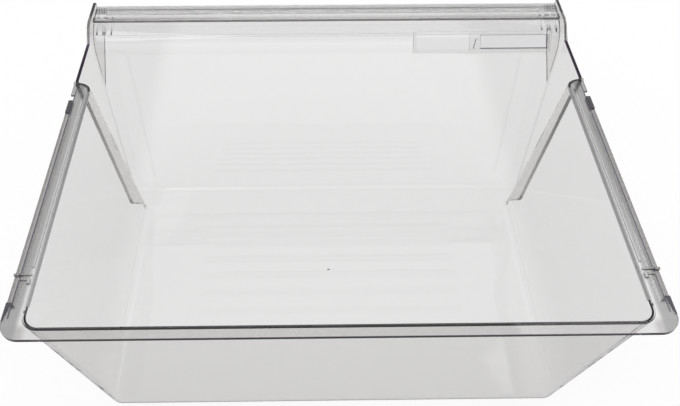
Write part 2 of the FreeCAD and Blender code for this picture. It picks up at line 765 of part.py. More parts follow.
def build_handle_bar():
    """Clip-on bar: stepped top, rolled front, grip, and a catch on the ledge.

    Its ends follow the slope of the end walls.
    """
    near = from_rear("bar_near")
    far = from_rear("bar_far")
    seat = "(ledge_height + seat_gap)"
    top = "(ledge_height + bar_rise)"
    step = from_rear("bar_step_reach")
    low_top = minus(top, "bar_step")
    crease = from_rear("bar_crease_reach")
    shelf = minus(top, "bar_crease")
    roll_y = minus(far, "bar_roll")
    roll_z = minus(top, "bar_roll")
    tip = minus(top, "bar_drop")
    edge = from_rear("ledge_reach + seat_gap")
    grip = minus(far, "bar_wall")
    under = minus(plus(BEND_Z, BEND_OUTER), "seat_gap")
    catch = minus(under, "catch_wall")
    hold = from_rear("ledge_reach - catch_grip")
    middle = minus(far, "bar_wall / 2")
    steps = (
        (near, seat),
        (near, minus(low_top, "bar_bevel")),
        (plus(near, "bar_bevel"), low_top),
        (step, low_top),
        (step, shelf),
        (crease, shelf),
        (plus(crease, "bar_crease"), top),
        (roll_y, top, roll_y, roll_z),
        (far, roll_z),
        (far, tip, middle, tip),
        (middle, minus(tip, "bar_wall / 2"), middle, tip),
        (grip, tip),
        (grip, catch),
        (hold, catch),
        (hold, under),
        (edge, under),
        (edge, seat),
    )
    body = view_solid("bar_profile", "YZ_Plane", steps, "width")
    sketch = new_sketch(body, "clip_notches", "XY_Plane", minus("ledge_height", "bar_rise"))
    for _, side in SIDES:
        low, high = mirrored(side, "(bar_half - clip_length)", f"(bar_half + {MARGIN})")
        draw(sketch, box_steps(low, high, from_rear("clip_near"), from_rear("clip_far")))
    body.Tip = pocket(body, sketch, "(bar_rise * 3)", back=True)
    bar = common("handle_bar", body, end_view("bar_end_view", "(-bar_end_gap)"))
    bar.Label = "handle_bar"
    return bar


def build_bar_clip(side, name):
    """End clip: a ribbed block between the bar's notch and the end wall."""
    body = new_body(f"{name}_bar_clip")
    inner = "(bar_half - clip_length + seat_gap)"
    outer = minus(front_half("ledge_height"), "seat_gap")
    floor = "(ledge_height + seat_gap)"
    plate = plus(floor, "clip_plate")
    top = "(ledge_height + clip_rise)"
    rib_top = minus(top, "clip_rib_drop")
    first_end = plus(inner, "clip_rib")
    second = plus(inner, "clip_pitch")
    second_end = plus(second, "clip_rib")
    last = minus(outer, "clip_rib * 2")
    steps = [
        (outer, floor),
        (outer, top),
        (last, top),
        (last, plate),
        (second_end, plate),
        (second_end, rib_top),
        (second, rib_top),
        (second, plate),
        (first_end, plate),
        (first_end, rib_top),
        (inner, rib_top),
        (inner, floor),
    ]
    if side < 0:
        steps = [(f"(-{across})", up) for across, up in reversed(steps)]
    near = from_rear("clip_near + seat_gap")
    sketch = new_sketch(body, f"{name}_clip_outline", "XZ_Plane", f"(-{near})")
    pad(body, draw(sketch, steps), "(clip_far - clip_near - seat_gap * 2)", back=True)
    doc.recompute()
    return body


def build_slider_track():
    """Flat frame in the front wall's seat that holds the slider down."""
    body = new_body("slider_track")
    ring = new_sketch(body, "frame_outline", "XY_Plane", FRAME_BOTTOM)
    draw(ring, box_steps(*both_ways("(track_length / 2)"), *both_ways("track_half")))
    draw(ring, box_steps(*both_ways(OPENING_END), *both_ways(OPENING_HALF)))
    pad(body, ring, "track_lip")
    doc.recompute()
    lean_into_track(body)
    return body


def build_slider():
    """Slider plate with a thumb rib, at the right, where it covers the window."""
    body = new_body("humidity_slider")
    right = minus(OPENING_END, "slide_gap")
    left = minus(right, "slider_length")
    plate = new_sketch(body, "slider_plate", "XY_Plane", SLIDER_BOTTOM)
    draw(plate, box_steps(left, right, *both_ways(SLIDER_HALF)))
    pad(body, plate, "slider_wall")
    thumb = new_sketch(body, "thumb_rib", "XY_Plane", minus(SLIDER_TOP, "slider_wall / 2"))
    rib = plus(left, "thumb_inset")
    draw(thumb, box_steps(rib, plus(rib, "thumb_wall"), "(-thumb_low)", "thumb_high"))
    doc.recompute()
    body.Tip = pad(body, thumb, "(thumb_rise + slider_wall / 2)")
    lean_into_track(body)
    return body


def build_front_stop(side, name):
    """Block in the notch of the rail's strip."""
    start = from_rear("front_stop_reach + seat_gap")
    y = (start, plus(start, "front_stop_length"))
    x = mirrored(side, "(width / 2 - strip_width + seat_gap)", "(width / 2)")
    z = ("(rim_height - front_stop_depth)", "(rim_height + pad_proud)")
    stop = block(f"{name}_front_stop", x, y, z)
    stop.Label = f"{name}_front_stop"
    return stop


def build_rear_glide(side, name):
    """Wedge in the slot of the rim's rear corner."""
    low = "(rim_height - rim_wall)"
    steps = glide_plan(side, "0")
    return view_solid(f"{name}_rear_glide", "XY_Plane", steps, "(rim_wall + pad_proud)", low, middle=False)


def build_all():
    fill_sheet()
    parts = [build_pan(), build_handle_bar(), build_slider_track(), build_slider()]
    for name, side in SIDES:
        parts.append(build_bar_clip(side, name))
        parts.append(build_front_stop(side, name))
        parts.append(build_rear_glide(side, name))
    doc.recompute()
    return {part.Label: part for part in parts}


def check(parts):
    """Raises if any object failed or any part isn't one sound solid."""
    for item in doc.Objects:
        if "Invalid" in item.State or "Error" in item.State:
            raise RuntimeError(f"{item.Name} failed: {item.State}")
    for name in NODES:
        shape = parts[name].Shape
        if shape.isNull() or not shape.isValid() or len(shape.Solids) != 1:
            raise RuntimeError(f"{name} is not one valid solid")


def write(parts):
    os.makedirs("parts", exist_ok=True)
    for name in NODES:
        parts[name].Shape.exportStep(f"parts/{name}.step")


built = build_all()
check(built)
write(built)
for node in NODES:
    print(node, round(built[node].Shape.Volume / 1000, 2), "cm3", built[node].Shape.BoundBox)
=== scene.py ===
"""Looks of a clear crisper drawer: moulded pan, handle bar with its end clips,
humidity vent, stops and glides, on a pale floor in soft studio light.

Metres. X runs across the drawer, +Y is the way it is pulled out, +Z is up.
"""

import math

import bmesh
import bpy
import numpy as np
from bpy.props import FloatProperty, FloatVectorProperty, IntProperty, PointerProperty
from mathutils import Matrix, Vector


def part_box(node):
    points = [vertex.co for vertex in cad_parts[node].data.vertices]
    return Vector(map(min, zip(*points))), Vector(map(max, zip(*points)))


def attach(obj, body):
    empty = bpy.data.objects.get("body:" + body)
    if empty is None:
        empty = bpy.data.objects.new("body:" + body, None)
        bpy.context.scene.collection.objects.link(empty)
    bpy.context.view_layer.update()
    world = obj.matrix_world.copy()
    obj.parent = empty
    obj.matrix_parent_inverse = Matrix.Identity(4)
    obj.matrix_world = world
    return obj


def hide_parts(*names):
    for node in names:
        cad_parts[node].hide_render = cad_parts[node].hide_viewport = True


bl_info = {
    "name": "Clear crisper drawer",
    "version": (1, 0, 0),
    "blender": (4, 5, 0),
    "location": "3D View > Sidebar > Drawer",
    "description": "Builds the looks of a clear crisper drawer round its fixed frame",
    "category": "Object",
}

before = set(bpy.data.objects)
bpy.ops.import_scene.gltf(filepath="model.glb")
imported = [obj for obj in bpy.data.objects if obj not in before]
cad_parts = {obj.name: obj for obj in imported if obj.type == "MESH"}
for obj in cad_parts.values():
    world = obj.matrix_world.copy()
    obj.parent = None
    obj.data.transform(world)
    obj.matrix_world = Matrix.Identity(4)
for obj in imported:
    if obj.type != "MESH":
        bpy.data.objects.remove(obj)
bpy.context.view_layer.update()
MM = 0.001
FLAT_TOP = (161.4, 170.0)

# Where the pan's plastic looks different: limits of |X|, Y and Z in
# millimetres, then the width over which the look fades out beyond them.
# The tints of bend, rim, corners, rails, crease, wall_tops and rear_edge are
# painted shade; mouth changes only roughness and shine.
PAN_ZONES = {
    "rails": (((206.0, 230.0), (-200.0, 69.5), FLAT_TOP), 3.6),
    "mouth": (((199.0, 202.6), (-146.0, 60.0), (161.0, 163.6)), 1.0),
    "wall_tops": (((210.8, 230.0), (72.6, 123.0), (163.0, 163.4)), 0.2),
    "rear_edge": (((-1.0, 196.0), (-163.2, -161.4), (160.8, 163.1)), 0.1),
    "bend": (((-1.0, 212.0), (127.0, 146.6), (157.0, 172.0)), 1.0),
    "rim": (((-1.0, 230.0), (-200.0, -164.0), FLAT_TOP), 0.6),
    "corners": (((202.0, 230.0), (-200.0, -164.0), FLAT_TOP), 6.0),
    # Painted shade: the crease zone paints a dark line where a rail's lip hangs.
    "crease": (((210.6, 211.5), (-156.0, 71.0), FLAT_TOP), 0.3),
}
# The same for the channel under the slider, along, up and out of the vent, whose tint is painted shade under
# the slider.
VENT_CHANNEL = ((-61.6, 61.6), (-9.3, 9.3), (-5.0, 5.0))
VENT_DEPTH = (-9.0, 9.0)


def length(name, description, default):
    """A length property in metres, given in millimetres."""
    return FloatProperty(name=name, description=description, default=default * MM, unit="LENGTH", precision=5)


def number(name, description, default, **limits):
    """A plain number property, with limits or a unit where it has them."""
    return FloatProperty(name=name, description=description, default=default, **limits)


def share(name, description, default):
    """A property between nought and one."""
    return number(name, description, default, min=0.0, max=1.0, subtype="FACTOR")


def colour(name, description, default):
    """A colour property."""
    return FloatVectorProperty(
        name=name, description=description, default=default, size=3, min=0.0, max=1.0, subtype="COLOR"
    )


class PlasticSizes(bpy.types.PropertyGroup):
    """Tint and surface of the clear and the smoke grey plastic."""

    tint: colour("Tint", "Light that the clear plastic lets through", (0.33, 0.30, 0.28))
    density: number("Density", "How strongly the clear plastic absorbs, per metre", 62.0, min=0.0)
    bending: number("Index of refraction", "How strongly the clear plastic bends light", 1.57, min=1.0)
    polish: share("Roughness", "Roughness of the polished walls", 0.02)
    satin: share("Rail roughness", "Roughness of the rails' rubbed tops", 0.22)
    # Painted shade: this tint greys the rails' tops; their rubbing is only the satin roughness.
    rail: colour("Rail tint", "Tint of the rails' rubbed tops", (0.47, 0.47, 0.47))
    # Painted shade: the dark line painted where a rail's lip hangs.
    crease: colour("Crease tint", "Tint of the dark line where a rail's lip hangs", (0.05, 0.04, 0.07))
    # Painted shade: darkens the rear rim.
    rim: colour("Rim tint", "Tint of the rim behind", (0.86, 0.85, 0.85))
    # Painted shade: darkens the rim's rear corners.
    corner: colour("Corner tint", "Tint of the rim's rear corners", (0.64, 0.63, 0.63))
    # Painted shade: darkens the front wall's bend.
    bend: colour("Bend tint", "Tint of the front wall's bend", (0.92, 0.92, 0.93))
    # Painted shade: the dark purple of edges seen end on, and below it the purple tint painted into their
    # reflections.
    painted_edge_shade: colour("Cut edge tint", "Tint of the purple edges seen end on", (0.16, 0.08, 0.22))
    gleam: colour("Cut edge gleam", "Tint of what the purple edges mirror", (0.40, 0.26, 0.52))
    # Painted shade: the dark band along the bar's near edge.
    painted_bar_edge_shade: colour("Bar edge tint", "Tint of the bar's near edge", (0.10, 0.09, 0.10))
    frost: share("Edge roughness", "Roughness of the rails' inner edges", 0.6)
    bar_frost: share("Bar front roughness", "Roughness of the bar's rounded front edge", 0.8)
    shine: number("Edge shine", "Index of refraction of the bright skin on edges", 3.2, min=1.0, max=4.0)
    shine_spread: share("Edge shine spread", "Roughness of the bright skin on edges", 0.4)
    # Painted shade: darkens the slider's thin panel.
    panel: colour("Panel tint", "Tint of the slider's thin panel", (0.84, 0.84, 0.85))
    # Painted shade: the dark lines along the thin panel's edges.
    outline: colour("Outline tint", "Tint of the thin panel's edges", (0.12, 0.10, 0.13))
    # Painted shade under the slider: this tint darkens the channel, whose roughness the code leaves as
    # elsewhere.
    channel: colour("Channel tint", "Tint of the matt channel under the slider", (0.85, 0.85, 0.85))
    smoke: colour("Smoke grey", "Colour of the stops and glides", (0.045, 0.042, 0.052))


class BarSizes(bpy.types.PropertyGroup):
    """Profile of the handle bar, from its near edge and its top."""

    step: length("Step", "Step along the top, from the near edge", 9.0)
    step_drop: length("Step height", "Height of the step", 0.8)
    crease: length("Crease", "Crease ahead of the step, from the near edge", 13.0)
    crease_drop: length("Crease height", "Height of the crease", 0.3)
    riser: length("Riser", "Run of the riser at the step", 0.2)
    plate: length("Plate", "Thickness of the bar where it lies on the ledge", 3.1)
    roll: length("Roll", "Radius of the rounded front edge", 1.6)
    wall: length("Wall", "Thickness of the grip", 2.4)
    edge: length("Ledge edge", "Where the bar passes the ledge, from the near edge", 17.1)
    hold: length("Catch", "Tip of the catch under the ledge, from the near edge", 14.6)
    under: length("Catch top", "Catch below the bar's top", 6.4)
    catch: length("Catch wall", "Thickness of the catch", 1.6)
    notch: length("Notch length", "Length of the notch for an end clip", 10.6)
    notch_near: length("Notch near side", "Near side of the notch, from the near edge", 10.0)
    notch_far: length("Notch far side", "Far side of the notch, from the near edge", 18.0)
    slant: number("Slant", "Slope of the bar's ends, as the end walls have", 0.0905)
    rounding: length("Edge rounding", "Rounding of the bar's ends", 0.35)
    # Painted shade: where the dark band on the bar's near edge is painted.
    dark_edge: length("Dark edge", "Height of the dark near edge", 4.0)
    dark_edge_top: length("Dark edge top", "Dark near edge below the lower top", 0.3)
    dark_edge_depth: length("Dark edge depth", "Depth of the dark near edge", 0.15)
    front_depth: length("Front depth", "Depth and height of the frosted front", 6.0)


class FittingSizes(bpy.types.PropertyGroup):
    """End clips, vent, stops and glides."""

    clip_ribs: IntProperty(name="Ribs", description="Ribs of an end clip", default=5, min=2)
    clip_plate: length("Clip plate", "Base plate of an end clip", 1.2)
    clip_rib: length("Clip rib", "Thickness of an end clip's ribs", 1.1)
    clip_rounding: length("Clip rounding", "Rounding along the ribs of an end clip", 0.25)
    clip_edge: length("Clip edge", "Rounding of an end clip's two faces", 0.2)
    vent_slope: number("Vent slope", "Slope of the vent from upright", math.radians(36), unit="ROTATION")
    frame_proud: length("Frame above seat", "Top of the vent's frame above its seat", 0.3)
    frame_wall: length("Frame thickness", "Thickness of the vent's frame", 1.0)
    frame_half: length("Frame half height", "Half height of the vent's frame", 9.3)
    frame_rail: length("Frame sides", "Width of the frame's long sides", 2.4)
    frame_end: length("Frame ends", "Width of the frame's end walls", 1.2)
    frame_corner: length("Frame corner", "Radius of the frame's outer corners", 0.9)
    frame_inner: length("Frame inner corner", "Radius of the frame's inner corners", 0.8)
    frame_round: share("Frame rounding", "Rounding of the frame's section, in widths of it", 0.18)
    slider_top: length("Slider depth", "Slider plate below the seat", 0.9)
    slider_wall: length("Slider plate", "Thickness of the slider plate", 1.4)
    slider_half: length("Slider half height", "Half height of the slider plate", 7.9)
    thumb_left: length("Thumb rib", "Thumb rib from the slider's left end", 4.5)
    thumb_wall: length("Thumb rib wall", "Thickness of the thumb rib", 2.2)
    thumb_rise: length("Thumb rib height", "Thumb rib above the plate", 2.4)
    thumb_lean: number("Thumb rib lean", "Sideways lean of the thumb rib", 0.24)
    thumb_crown: share("Thumb rib crown", "Fall of the rib's top towards its sides, in heights of it", 0.12)
    thumb_low: length("Thumb rib low end", "Thumb rib below the slider's middle", 6.2)
    thumb_high: length("Thumb rib high end", "Thumb rib above the slider's middle", 2.8)
    well_left: length("Well left end", "Left end of the slider's thin panel, from the slider's left end", 9.5)
    well_right: length("Well right end", "Right end of the thin panel, from the slider's right end", 1.0)
    well_half: length("Well half height", "Half height of the thin panel", 6.2)
    well_depth: length("Well depth", "Depth of the thin panel", 0.9)
    slider_edge: length("Slider edge", "Run of the soft edges of the rib and the thin panel", 0.3)
    # Painted shade: height of the dark line painted along the panel's low edge.
    low_outline: length("Low outline", "Height of the dark line along the panel's low edge", 0.8)
    pad_rounding: length("Pad rounding", "Rounded edges of the stops and glides", 0.6)
    glide_tip: length("Glide tip", "Width of a glide's rear tip", 0.8)


class StageSizes(bpy.types.PropertyGroup):
    """Floor, lamps and camera."""

    floor: length("Floor", "Side of the floor", 6000.0)
    floor_colour: colour("Floor colour", "Colour of the floor", (0.92, 0.92, 0.92))
    backdrop: share("Backdrop share", "Share of the floor that shows as a plain pale backdrop", 0.88)
    through: share("Seen through", "Level of the backdrop seen through the plastic", 0.94)
    # Painted shadow: the backdrop seen through the plastic beside the drawer is darker.
    beside: share("Beside", "Level of the backdrop seen through the plastic, beside the drawer", 0.84)
    mirrored: share("Mirrored", "Level of the backdrop mirrored in the plastic", 0.5)
    side_start: length("Side start", "Where the backdrop beside the drawer begins to fade in", 180.0)
    side_end: length("Side end", "Where the backdrop beside the drawer is reached", 210.0)
    overhead: number("Overhead", "Level of the surroundings overhead", 1.0, min=0.0)
    horizon: number("Horizon", "Level of the surroundings at eye level", 0.5, min=0.0)
    overhead_from: share("Overhead from", "Upward share of a direction that counts as overhead", 0.85)
    key: number("Key lamp", "Power of the large soft lamp", 6.0, unit="POWER")
    fill: number("Fill lamp", "Power of the second lamp", 3.0, unit="POWER")
    camera_place: FloatVectorProperty(
        name="Camera",
        description="Where the camera stands",
        default=(-0.021804, -0.387625, 0.554934),
        unit="LENGTH",
    )
    yaw: number("Yaw", "Camera turned to the right", 0.01336, unit="ROTATION")
    pitch: number("Pitch", "Camera looking down", 0.86909, unit="ROTATION")
    roll: number("Roll", "Camera turned about its view", 0.00085, unit="ROTATION")
    focal: number("Focal length", "In widths of the picture", 1.03741, min=0.1)
    shift_x: number("Shift across", "Lens shift across", 0.04293)
    shift_y: number("Shift up", "Lens shift up", -0.01001)


def new_piece(name, points, faces, body, slot, node, flat=False):
    """Object from an array of points and a list of faces, standing for a node."""
    mesh = bpy.data.meshes.new(name)
    mesh.from_pydata(points.tolist(), [], faces)
    mesh.update()
    mesh.polygons.foreach_set("use_smooth", np.full(len(faces), not flat))
    piece = bpy.data.objects.new(name, mesh)
    bpy.context.scene.collection.objects.link(piece)
    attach(piece, body)
    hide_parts(node)
    return piece


def soften(piece, width, angle=35.0):
    """Rounds the sharp edges of a piece and keeps its flat faces flat."""
    bevel = piece.modifiers.new("edges", "BEVEL")
    bevel.width = width
    bevel.segments = 2
    bevel.limit_method = "ANGLE"
    bevel.angle_limit = math.radians(angle)
    bevel.harden_normals = True


def smooth_step(value, start, end):
    """t * t * (3 - 2 t), where t goes from 0 to 1 while the value goes from
    start to end."""
    t = np.clip((value - start) / (end - start), 0, 1)
    return t * t * (3 - 2 * t)


def plateau(value, low, high, edge):
    """One between low and high, with a smooth step of the edge's run inside
    each of them."""
    return smooth_step(value, low, low + edge) * smooth_step(value, high, high - edge)


def edge_lines(low, high, edge, count=5):
    """Grid lines across both soft edges of a plateau."""
    return np.concatenate([np.linspace(low, low + edge, count), np.linspace(high - edge, high, count)])


def round_corners(corners, radii, steps=4):
    """Closed outline with each corner turned into an arc.

    The arc touches both edges at radius / tan(half the corner's angle) from
    the corner. Its centre lies on the corner's bisector, and its points turn
    evenly about that centre.
    """
    corners = np.asarray(corners, float)
    radii = np.maximum(np.asarray(radii, float), 1e-6)[:, None]
    back = np.roll(corners, 1, axis=0) - corners
    ahead = np.roll(corners, -1, axis=0) - corners
    back /= np.linalg.norm(back, axis=1, keepdims=True)
    ahead /= np.linalg.norm(ahead, axis=1, keepdims=True)
    half = np.arccos(np.clip((back * ahead).sum(1, keepdims=True), -1, 1)) / 2
    bisector = back + ahead
    bisector /= np.linalg.norm(bisector, axis=1, keepdims=True)
    centre = corners + bisector * radii / np.sin(half)
    start = corners + back * radii / np.tan(half) - centre
    turn = np.sign(back[:, 0] * ahead[:, 1] - back[:, 1] * ahead[:, 0])[:, None] * (2 * half - np.pi)
    angle = turn * np.linspace(0, 1, steps)[None, :]
    across = centre[:, :1] + start[:, :1] * np.cos(angle) - start[:, 1:] * np.sin(angle)
    up = centre[:, 1:] + start[:, :1] * np.sin(angle) + start[:, 1:] * np.cos(angle)
    return np.stack([across, up], axis=-1).reshape(-1, 2)


def carried_profile(outline, stations, place):
    """Points and faces of an outline carried along a line, closed at both ends.

    Point (i, j) is place(station i, outline point j). Rings are joined by
    four-sided faces, and each end is one flat face.
    """
    count = len(outline)
    points = np.concatenate([place(station, outline) for station in stations])
    ring = np.arange(count)
    turned = np.roll(ring, -1)
    rows = (np.arange(len(stations) - 1) * count)[:, None]
    quads = np.stack([rows + ring, rows + turned, rows + count + turned, rows + count + ring], axis=-1)
    last = (len(stations) - 1) * count
    return points, quads.reshape(-1, 4).tolist() + [ring[::-1].tolist(), (last + ring).tolist()]


def outward(piece):
    """Turns every face of a closed piece outwards."""
    work = bmesh.new()
    work.from_mesh(piece.data)
    bmesh.ops.recalc_face_normals(work, faces=work.faces)
    work.to_mesh(piece.data)
    work.free()


def rounded_block(low, high, radius, arc=4):
    """Box with rounded edges: each point of the box is pulled to the smaller
    box inside it, then pushed out again by the radius in that direction."""
    low = np.asarray(low, float)
    high = np.asarray(high, float)
    middle = (low + high) / 2
    half = (high - low) / 2
    sweep = np.tan(np.linspace(-np.pi / 4, 0, arc)) * radius
    lines = [np.concatenate([-size + radius + sweep, size - radius - sweep[::-1]]) for size in half]
    points = []
    faces = []
    total = 0
    for axis in range(3):
        first, second = (axis + 1) % 3, (axis + 2) % 3
        across, up = np.meshgrid(lines[first], lines[second], indexing="ij")
        for side in (-1, 1):
            sheet = np.empty(across.shape + (3,))
            sheet[..., first] = across
            sheet[..., second] = up
            sheet[..., axis] = side * half[axis]
            points.append(sheet.reshape(-1, 3))
            faces.append(grid_faces(*across.shape, flip=side < 0) + total)
            total += across.size
    points = np.concatenate(points)
    core = np.clip(points, -(half - radius), half - radius)
    push = points - core
    points = middle + core + push * radius / np.linalg.norm(push, axis=1, keepdims=True)
    return merged(points, np.concatenate(faces))


def grid_faces(rows, columns, flip=False):
    """Four-sided faces of a grid of points, row by row."""
    index = np.arange(rows * columns).reshape(rows, columns)
    quads = np.stack([index[:-1, :-1], index[1:, :-1], index[1:, 1:], index[:-1, 1:]], axis=-1).reshape(-1, 4)
    return quads[:, ::-1] if flip else quads


def merged(points, faces):
    """Points that share a place become one, so seams are closed."""
    keys = np.round(points / 1e-7).astype(np.int64)
    _, kept, where = np.unique(keys, axis=0, return_index=True, return_inverse=True)
    return points[kept], where.reshape(-1)[faces].tolist()


def vent_place(sizes):
    """Origin of the vent's own frame and its three directions.

    Across is X, up the slope leans forwards by the vent's slope, and out
    points back into the pan. The frame's box gives the middle.
    """
    low, high = (np.array(corner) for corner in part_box("slider_track"))
    slope = sizes.vent_slope
    up = np.array([0.0, math.sin(slope), math.cos(slope)])
    out = np.array([0.0, -math.cos(slope), math.sin(slope)])
    middle = (low + high) / 2 - out * (sizes.frame_proud - sizes.frame_wall / 2)
    return middle, np.array([1.0, 0.0, 0.0]), up, out


def into_vent(points, sizes):
    """Places in the vent's own frame, put into the drawer's."""
    middle, across, up, out = vent_place(sizes)
    return middle + points @ np.stack([across, up, out])


def bar_outline(sizes, near, far, top, low):
    """The bar's section in Y and Z. Each corner has its radius in millimetres."""
    under = top - sizes.under
    corners = [
        (near, top - sizes.plate, 0.2),
        (near, top - sizes.step_drop, 0.5),
        (near + sizes.step, top - sizes.step_drop, 0.25),
        (near + sizes.step + sizes.riser, top - sizes.crease_drop, 0.2),
        (near + sizes.crease, top - sizes.crease_drop, 0.3),
        (near + sizes.crease + sizes.crease_drop, top, 0.3),
        (far, top, sizes.roll / MM),
        (far, low, 1.1),
        (far - sizes.wall, low, 1.1),
        (far - sizes.wall, under - sizes.catch, 0.5),
        (near + sizes.hold, under - sizes.catch, 0.4),
        (near + sizes.hold, under, 0.4),
        (near + sizes.edge, under, 0.3),
        (near + sizes.edge, top - sizes.plate, 0.3),
    ]
    table = np.array(corners)
    return round_corners(table[:, :2], table[:, 2] * MM, steps=6)


def cut_away(piece, low, high):
    """Cuts a box out of a piece for good."""
    points, faces = rounded_block(low, high, 0.1 * MM)
    mesh = bpy.data.meshes.new("notch")
    mesh.from_pydata(points.tolist(), [], faces)
    tool = bpy.data.objects.new("notch", mesh)
    bpy.context.scene.collection.objects.link(tool)
    outward(tool)
    modifier = piece.modifiers.new("notch", "BOOLEAN")
    modifier.operation = "DIFFERENCE"
    modifier.solver = "EXACT"
    modifier.object = tool
    bpy.context.view_layer.update()
    shaped = bpy.data.meshes.new_from_object(piece.evaluated_get(bpy.context.evaluated_depsgraph_get()))
    piece.modifiers.remove(modifier)
    old = piece.data
    piece.data = shaped
    bpy.data.meshes.remove(old)
    bpy.data.objects.remove(tool)


class Nodes:
    """Short way to add nodes to a new material and link them."""

    def __init__(self, name):
        self.material = bpy.data.materials.new(name)
        self.material.use_nodes = True
        self.tree = self.material.node_tree
        self.tree.nodes.clear()

    def add(self, kind, inputs=(), **settings):
        """A node whose sockets take a value each, or a link from a socket."""
        node = self.tree.nodes.new(kind)
        for key, value in settings.items():
            setattr(node, key, value)
        for socket, value in dict(inputs).items():
            if isinstance(value, bpy.types.NodeSocket):
                self.tree.links.new(value, node.inputs[socket])
            else:
                node.inputs[socket].default_value = value
        return node

    def math(self, operation, first, second=0.0, third=0.0):
        """Result of a Math node."""
        values = {0: first, 1: second, 2: third}
        return self.add("ShaderNodeMath", values, operation=operation).outputs[0]

    def ramp(self, value, start, end, low=0.0, high=1.0):
        """Smooth step from low to high while the value goes from start to end."""
        limits = {0: value, 1: start, 2: end, 3: low, 4: high}
        return self.add("ShaderNodeMapRange", limits, interpolation_type="SMOOTHSTEP").outputs[0]

    def zone(self, place, limits, soft=0.2):
        """One inside a box given in millimetres, with soft steps at its sides."""
        amount = 1.0
        for value, (low, high) in zip(place, limits):
            enter = self.ramp(value, (low - soft) * MM, low * MM)
            leave = self.ramp(value, (high + soft) * MM, high * MM)
            amount = self.math("MULTIPLY", self.math("MULTIPLY", enter, leave), amount)
        return amount

    def tinted(self, zones, base=(1.0, 1.0, 1.0, 1.0)):
        """White plastic with the tint of each zone where its amount is one."""
        for amount, tint in zones:
            mixed = {0: amount, 6: base, 7: (*tint, 1.0)}
            base = self.add("ShaderNodeMix", mixed, data_type="RGBA").outputs[2]
        return base

    def finish(self, surface, volume=None):
        """The material, once its output has a surface and perhaps a volume."""
        output = self.add("ShaderNodeOutputMaterial", {"Surface": surface})
        if volume:
            self.tree.links.new(volume, output.inputs["Volume"])
        return self.material


def moulded_surface(nodes, polish, flow, grain):
    """Roughness and bump of moulded plastic: slow flow waves and fine scuffs."""
    where = nodes.add("ShaderNodeTexCoord").outputs["Object"]
    waves, scuffs = (
        nodes.add(
            "ShaderNodeTexNoise", {"Vector": where, "Scale": scale, "Detail": detail, "Roughness": rough}
        ).outputs["Fac"]
        for scale, detail, rough in ((28.0, 2.0, 0.4), (420.0, 4.0, 0.6))
    )
    rubbed = nodes.math("MULTIPLY_ADD", scuffs, grain, polish)
    height = nodes.math("MULTIPLY_ADD", scuffs, 0.02, waves)
    bump = nodes.add("ShaderNodeBump", {"Strength": flow, "Distance": 0.002, "Height": height})
    return where, rubbed, bump.outputs["Normal"]


def absorption(nodes, plastic, times=1.0):
    """The clear plastic's tint, which grows with the way through it."""
    inputs = {"Color": (*plastic.tint, 1.0), "Density": plastic.density * times}
    return nodes.add("ShaderNodeVolumeAbsorption", inputs).outputs[0]


def glass(nodes, plastic, base, rough, normal, gleam=(1.0, 1.0, 1.0, 1.0), shine=0.0):
    """Clear plastic. Gleam tints what it mirrors, and shine is the amount of
    the bright skin where an edge catches the light."""
    return nodes.add(
        "ShaderNodeBsdfPrincipled",
        {
            "Base Color": base,
            "Roughness": rough,
            "IOR": plastic.bending,
            "Transmission Weight": 1.0,
            "Specular Tint": gleam,
            "Coat Weight": shine,
            "Coat Roughness": plastic.shine_spread,
            "Coat IOR": plastic.shine,
            "Normal": normal,
        },
    ).outputs[0]


def vent_axes(nodes, where, sizes):
    """Places along, up and out of the vent's plane, from its middle."""
    middle, *ways = vent_place(sizes)
    kind = "ShaderNodeVectorMath"
    away = nodes.add(kind, {0: where, 1: middle.tolist()}, operation="SUBTRACT").outputs[0]
    return [
        nodes.add(kind, {0: away, 1: way.tolist()}, operation="DOT_PRODUCT").outputs["Value"] for way in ways
    ]


def shell_material(plastic, fittings):
    """Polished clear plastic with rubbed rails; its tints paint shade: grey on the rails' tops, dark purple
    edges seen end on, a dark crease line, and a darker bend, rim, corners and channel under the slider.
    """
    nodes = Nodes("clear_shell")
    where, rubbed, normal = moulded_surface(nodes, plastic.polish, flow=0.05, grain=0.02)
    place = nodes.add("ShaderNodeSeparateXYZ", {0: where}).outputs
    place = (nodes.math("ABSOLUTE", place[0]), place[1], place[2])
    zones = {name: nodes.zone(place, *zone) for name, zone in PAN_ZONES.items()}
    # Painted shade under the slider.
    channel = nodes.zone(vent_axes(nodes, where, fittings), VENT_CHANNEL)
    # Painted shade: zones of the dark purple edges seen end on.
    painted_edge_zone = nodes.math("MAXIMUM", zones["wall_tops"], zones["rear_edge"])
    base = nodes.tinted((
        (channel, plastic.channel),
        # Painted shade on the front wall's bend.
        (zones["bend"], plastic.bend),
        # Painted shade on the rear rim.
        (zones["rim"], plastic.rim),
        # Painted shade in the rim's rear corners.
        (zones["corners"], plastic.corner),
        # Painted shade: grey on the rails' tops.
        (zones["rails"], plastic.rail),
        # Painted shade: the dark line where a rail's lip hangs.
        (zones["crease"], plastic.crease),
        (painted_edge_zone, plastic.painted_edge_shade),
    ))
    rough = nodes.math("MULTIPLY_ADD", zones["rails"], plastic.satin, rubbed)
    rough = nodes.math("MULTIPLY_ADD", zones["mouth"], plastic.frost, rough)
    # Painted shade: reflections on those edges tinted purple.
    gleam = nodes.tinted(((painted_edge_zone, plastic.gleam),))
    surface = glass(nodes, plastic, base, rough, normal, gleam, shine=zones["mouth"])
    return nodes.finish(surface, absorption(nodes, plastic))


